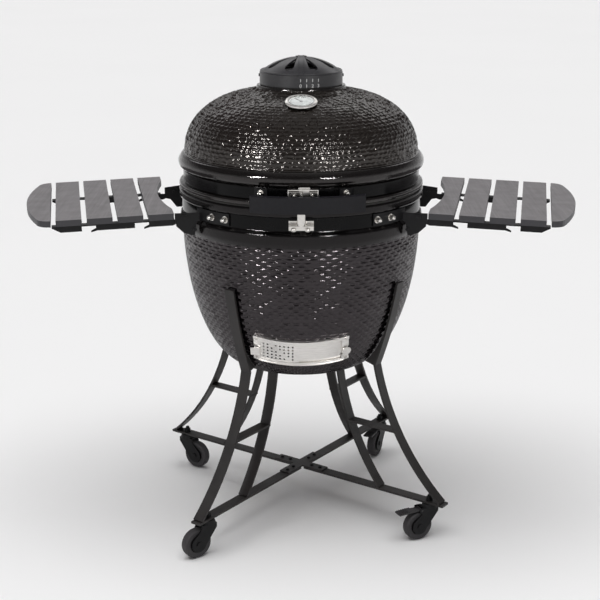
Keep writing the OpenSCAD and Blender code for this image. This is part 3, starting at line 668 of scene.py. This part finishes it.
# The neck: the dome's last three points ease into the crown under the chimney ring
dome_curve += [(0.131, PART_Z + 0.2535), (0.125, PART_Z + 0.2567), (0.1197, PART_Z + 0.2592)]
textured = even_points(dome_curve, LID_ROWS * LINES_PER_ROW, growth=0.08)
dents = scales(textured, LINES_PER_ROW, LID_COLUMNS, RIM_CELLS, SCALE_DEPTH, seed=5)
crown = rounded(
    [
        tuple(textured[-1]),
        (0.1185, PART_Z + 0.2605),
        (0.1178, PART_Z + 0.265),
        (0.086, PART_Z + 0.265),
        (0.086, PART_Z + 0.235),
    ],
    CROWN_ROUND,
    2,
)[1:]
hollow = [dome_point(t, **INNER_DOME) for t in np.linspace(HOLLOW_END, 0.0, 9)]
lip = rounded(
    [
        (FLANGE_R - 0.042, PART_Z + 0.060),
        (FLANGE_R - 0.042, PART_Z),
        (FLANGE_R - 0.0015, PART_Z),
        (FLANGE_R - 0.0015, PART_Z + 0.014),
        (FLANGE_R - 0.016, PART_Z + 0.014),
        (FLANGE_R - 0.016, PART_Z + 0.049),
        (FLANGE_R - 0.009, PART_Z + 0.0495),
        (FLANGE_R - 0.001, PART_Z + 0.058),
        (FLANGE_R, PART_Z + 0.072),
        (FLANGE_R - 0.009, PART_Z + 0.0865),
        tuple(textured[0]),
    ],
    RIM_ROUND,
    2,
)[:-1]
# The scaled skin has fine columns, the smooth remainder coarse ones
skin_v, skin_f = turned([tuple(p) for p in textured], LID_COLUMNS, dents, closed=False)
smooth = [tuple(textured[-1])] + crown + hollow + lip + [tuple(textured[0])]
rest_v, rest_f = turned(smooth, SMOOTH_COLUMNS, closed=False)
row_of = np.arange(len(smooth) - 1).repeat(SMOOTH_COLUMNS)
# Bare from the crown's inner end to just inside the lip, smooth glaze elsewhere
start_hollow, start_lip = len(crown) - 1, len(crown) + len(hollow) + 4
rest_index = np.where((row_of >= start_hollow) & (row_of < start_lip), 2, 1)
dome = mesh_object(
    "lid_shell",
    np.concatenate([skin_v, rest_v]),
    np.concatenate([skin_f, rest_f + len(skin_v)]),
    [looks["lid"], looks["rim"], looks["inside"]],
    True,
    np.concatenate([np.zeros(len(skin_f), int), rest_index]),
)
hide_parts("ceramic_lid")
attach(dome, "lid")

# Springs: a coil each side of the hinge ------------------------------------------

hinge = Vector(joints["lid_hinge"]["pos_m"])
# A coil starts this far from the hinge's middle and runs outwards by PITCH a turn
COIL_R, WIRE_R, PITCH, COIL_START = 0.012, 0.0021, 0.0049, 0.0105
TURNS, PER_TURN = 8.4, 28
wire = bpy.data.curves.new("spring_coils", "CURVE")
wire.dimensions = "3D"
wire.bevel_depth = WIRE_R
wire.bevel_resolution = 3
for side in (-1, 1):
    line = wire.splines.new("POLY")
    count = int(TURNS * PER_TURN)
    line.points.add(count)
    for i in range(count + 1):
        t = i / PER_TURN
        a = 2 * math.pi * t * side
        line.points[i].co = (
            hinge.x + side * (COIL_START + PITCH * t),
            hinge.y + COIL_R * math.cos(a),
            hinge.z + COIL_R * math.sin(a),
            1,
        )
coils = bpy.data.objects.new("spring_coils", wire)
bpy.context.scene.collection.objects.link(coils)
wire.materials.append(looks["steel"])
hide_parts("hinge_springs")
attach(coils, "base")

# CAD nodes: materials and softened edges -----------------------------------------

# Each node with its material and the width of its softened edges in metres
for node, key, bevel in (
    ("base_gasket", "felt", 0),
    ("lid_gasket", "felt", 0),
    ("chimney_gasket", "felt", 0),
    ("base_band", "band", 0.0006),
    ("lid_band", "band", 0.0006),
    ("base_band_bolts", "steel", 0.0003),
    ("lid_band_bolts", "steel", 0.0003),
    ("fire_box", "clay", 0.002),
    ("fire_ring", "clay", 0.002),
    ("charcoal_grate", "iron", 0.0008),
    ("cooking_grid", "rod", 0),
    ("draft_frame", "sheet", 0.0003),
    ("draft_frame_screws", "steel", 0.0003),
    ("draft_screen", "sheet", 0),
    ("draft_door", "sheet", 0),
    ("leg_pads", "pad", 0),
    ("cross_plate", "stand", 0.0006),
    ("stand_bolts", "black", 0.0004),
    ("hinge_base_bracket", "black", 0.0006),
    ("hinge_lid_bracket", "black", 0.0006),
    ("hinge_pin", "steel", 0.0004),
    ("latch_post", "steel", 0.0005),
    ("latch_keeper", "steel", 0.0004),
    ("latch_lever", "steel", 0.0004),
    ("shelf_brackets_left", "black", 0.0006),
    ("shelf_brackets_right", "black", 0.0006),
    ("handle_grip", "grip", 0.0016),
    ("handle_brackets", "black", 0.0006),
    ("chimney_ring", "cap", 0.0008),
    ("chimney_ring_screws", "black", 0.0006),
    ("damper_cap", "cap", 0.0008),
    ("thermometer_case", "bezel", 0.0022),
    ("thermometer_dial", "dial", 0),
    ("thermometer_lens", "lens", 0),
    ("thermometer_needle", "needle", 0),
    ("shelf_left_slats", "slat", 0.0018),
    ("shelf_right_slats", "slat", 0.0018),
    ("shelf_left_rails", "black", 0.0005),
    ("shelf_right_rails", "black", 0.0005),
    ("brake_pedal_front_right", "hub", 0.0006),
    ("brake_pedal_rear_right", "hub", 0.0006),
):
    paint(node, looks[key], bevel)
for corner in CORNERS:
    paint("leg_" + corner, looks["stand"], 0.0008)
    paint("caster_fork_" + corner, looks["black"], 0.0006)
    paint("caster_wheel_" + corner, looks["hub"], 0.0005)
    paint("caster_tyre_" + corner, looks["tyre"], 0.0008)

# Numerals and ticks on the chimney ring --------------------------------------------

ring_low, ring_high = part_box("chimney_ring")
RING_R = ring_high[0]
PRINT_LIFT = 0.0003  # printed marks stand this far off the ring
TICK_HALF, TICK_HEIGHT, TICK_Z = 0.0008, 0.0078, ring_low[2] + 0.0156
NUMERAL_SIZE, NUMERAL_Z = 0.0122, ring_low[2] + 0.0015
NUMERAL_WEIGHT = 0.00018  # the strokes of a numeral are this much thicker each side
FIRST_MARK, MARK_STEP = -0.8, 8.2  # degrees round the ring, to the right of the front
marks_v, marks_f = [], []


def wrap(points, faces, turn, z):
    """Lays flat [x, y] points on the front of the ring, turned by an angle."""
    start = len(marks_v)
    for x, y in points:
        a = math.radians(turn) + x / RING_R
        r = RING_R + PRINT_LIFT
        marks_v.append((math.sin(a) * r, -math.cos(a) * r, z + y))
    marks_f.extend(tuple(start + i for i in f) for f in faces)


tick = [(-TICK_HALF, 0), (TICK_HALF, 0), (TICK_HALF, TICK_HEIGHT), (-TICK_HALF, TICK_HEIGHT)]
for i in range(4):
    turn = MARK_STEP * i + FIRST_MARK
    wrap(tick, [(0, 1, 2, 3)], turn, TICK_Z)
    curve = bpy.data.curves.new("numeral", "FONT")
    curve.body = str(i)
    curve.size = NUMERAL_SIZE
    curve.offset = NUMERAL_WEIGHT
    curve.align_x = "CENTER"
    figure = bpy.data.objects.new("numeral", curve)
    bpy.context.scene.collection.objects.link(figure)
    shown = bpy.context.evaluated_depsgraph_get()
    flat = bpy.data.meshes.new_from_object(figure.evaluated_get(shown))
    wrap(
        [(v.co.x, v.co.y) for v in flat.vertices],
        [tuple(p.vertices) for p in flat.polygons],
        turn,
        NUMERAL_Z,
    )
    bpy.data.objects.remove(figure)
    bpy.data.meshes.remove(flat)
    bpy.data.curves.remove(curve)
marks = mesh_object("damper_scale", marks_v, marks_f, [looks["white"]], False)
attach(marks, "lid")

# Dial ticks: a ring of fine strokes just above the dial's face, every fourth one longer
needle = joints["needle_turn"]
up = Vector(needle["axis"]).normalized()
right = Vector((1, 0, 0))
back = up.cross(right)
DIAL_LIFT = 0.00655  # from the needle's pivot to just above the dial's face
STROKES, DIAL_START, DIAL_STEP = 25, 240, 12.5
LONG_EVERY, STROKE_END = 4, 0.0285
LONG_START, SHORT_START = 0.0225, 0.0245
LONG_HALF, SHORT_HALF = 0.0009, 0.0005
face = Vector(needle["pos_m"]) + up * DIAL_LIFT
tick_v, tick_f = [], []
for i in range(STROKES):
    a = math.radians(DIAL_START - DIAL_STEP * i)
    out = right * math.cos(a) + back * math.sin(a)
    short = i % LONG_EVERY
    across = up.cross(out) * (SHORT_HALF if short else LONG_HALF)
    inner = SHORT_START if short else LONG_START
    start = len(tick_v)
    for r, s in ((inner, -1), (STROKE_END, -1), (STROKE_END, 1), (inner, 1)):
        tick_v.append(face + out * r + across * s)
    tick_f.append(tuple(range(start, start + 4)))
ticks = mesh_object("dial_ticks", tick_v, tick_f, [looks["ink"]], False)
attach(ticks, "lid")

# Floor, light and camera --------------------------------------------------------------

floor = mesh_object(
    "floor", [(-60, -20, 0), (60, -20, 0), (60, 90, 0), (-60, 90, 0)], [(0, 1, 2, 3)], []
)
graph = Graph("studio_floor")
floor_shade = graph.spread(graph.noise(0.4, 2.0), 0.0, 1.0)
graph.done(
    graph.mix(floor_shade, (0.89, 0.89, 0.89), (0.90, 0.90, 0.90)),
    graph.spread(graph.noise(3.0), 0.7, 0.8),
    graph.bump(graph.noise(400.0), 0.00002),
    Specular_IOR_Level=0.15,
)
floor.data.materials.append(graph.material)

# The world: bright at the horizon, dim above it, brighter again overhead
world = bpy.data.worlds.new("studio")
bpy.context.scene.world = world
world.use_nodes = True
sky_tree = world.node_tree
sky = sky_tree.nodes["Background"]
place = sky_tree.nodes.new("ShaderNodeTexCoord")
split = sky_tree.nodes.new("ShaderNodeSeparateXYZ")
sky_tree.links.new(place.outputs["Generated"], split.inputs["Vector"])
ramp = sky_tree.nodes.new("ShaderNodeValToRGB")
horizon, dark = ramp.color_ramp.elements
horizon.position = 0.0
horizon.color = (0.88, 0.88, 0.88, 1)
dark.position = 0.40
dark.color = (0.088, 0.081, 0.086, 1)
above = ramp.color_ramp.elements.new(0.72)
above.color = (0.103, 0.096, 0.101, 1)
zenith = ramp.color_ramp.elements.new(1.0)
zenith.color = (0.46, 0.46, 0.46, 1)
sky_tree.links.new(split.outputs["Z"], ramp.inputs["Fac"])
sky_tree.links.new(ramp.outputs["Color"], sky.inputs["Color"])
sky.inputs["Strength"].default_value = 1.0


def lamp(name, kind, energy, at, aim, **settings):
    """A light at a place, turned towards another."""
    light = bpy.data.lights.new(name, kind)
    light.energy = energy
    for key, value in settings.items():
        setattr(light, key, value)
    made = bpy.data.objects.new(name, light)
    bpy.context.scene.collection.objects.link(made)
    made.location = at
    made.rotation_euler = (Vector(aim) - Vector(at)).to_track_quat("-Z", "Y").to_euler()
    return made


SKY_SPREAD = math.radians(64)  # a wide sun, for the soft shadow on the floor
over = lamp("overhead", "SUN", 2.44, (-0.35, -0.45, 4.0), (0, 0, 0), angle=SKY_SPREAD)
over.visible_glossy = False


AIM_Z = 1.0  # the panels are turned towards this height on the middle axis


def softbox(name, azimuth, elevation, distance, size, energy):
    """A panel seen only in reflections, azimuth counted from the front to the right."""
    a, e = math.radians(azimuth), math.radians(elevation)
    at = (
        distance * math.cos(e) * math.sin(a),
        -distance * math.cos(e) * math.cos(a),
        AIM_Z + distance * math.sin(e),
    )
    shape = {"shape": "RECTANGLE", "size": size[0], "size_y": size[1]}
    box = lamp(name, "AREA", energy, at, (0, 0, AIM_Z), **shape)
    box.visible_diffuse = False
    box.visible_camera = False


softbox("box_left", -40, 22, 3.2, (0.24, 0.34), 62)
softbox("box_right", 25, 22, 3.2, (0.22, 0.32), 50)
softbox("wall_behind", 180, 42, 4.5, (7.0, 2.0), 60)

# The camera's place, tilt and lens were fitted to the photograph's main outlines
DOWNWARD_TILT = 16.3
data = bpy.data.cameras.new("camera")
data.lens = 78.66
data.sensor_width = 36.0
camera = bpy.data.objects.new("camera", data)
bpy.context.scene.collection.objects.link(camera)
camera.location = (-0.003, -3.501, 1.621)
camera.rotation_euler = (math.radians(90 - DOWNWARD_TILT), 0, 0)
bpy.context.scene.camera = camera
bpy.context.scene.view_settings.view_transform = "Standard"
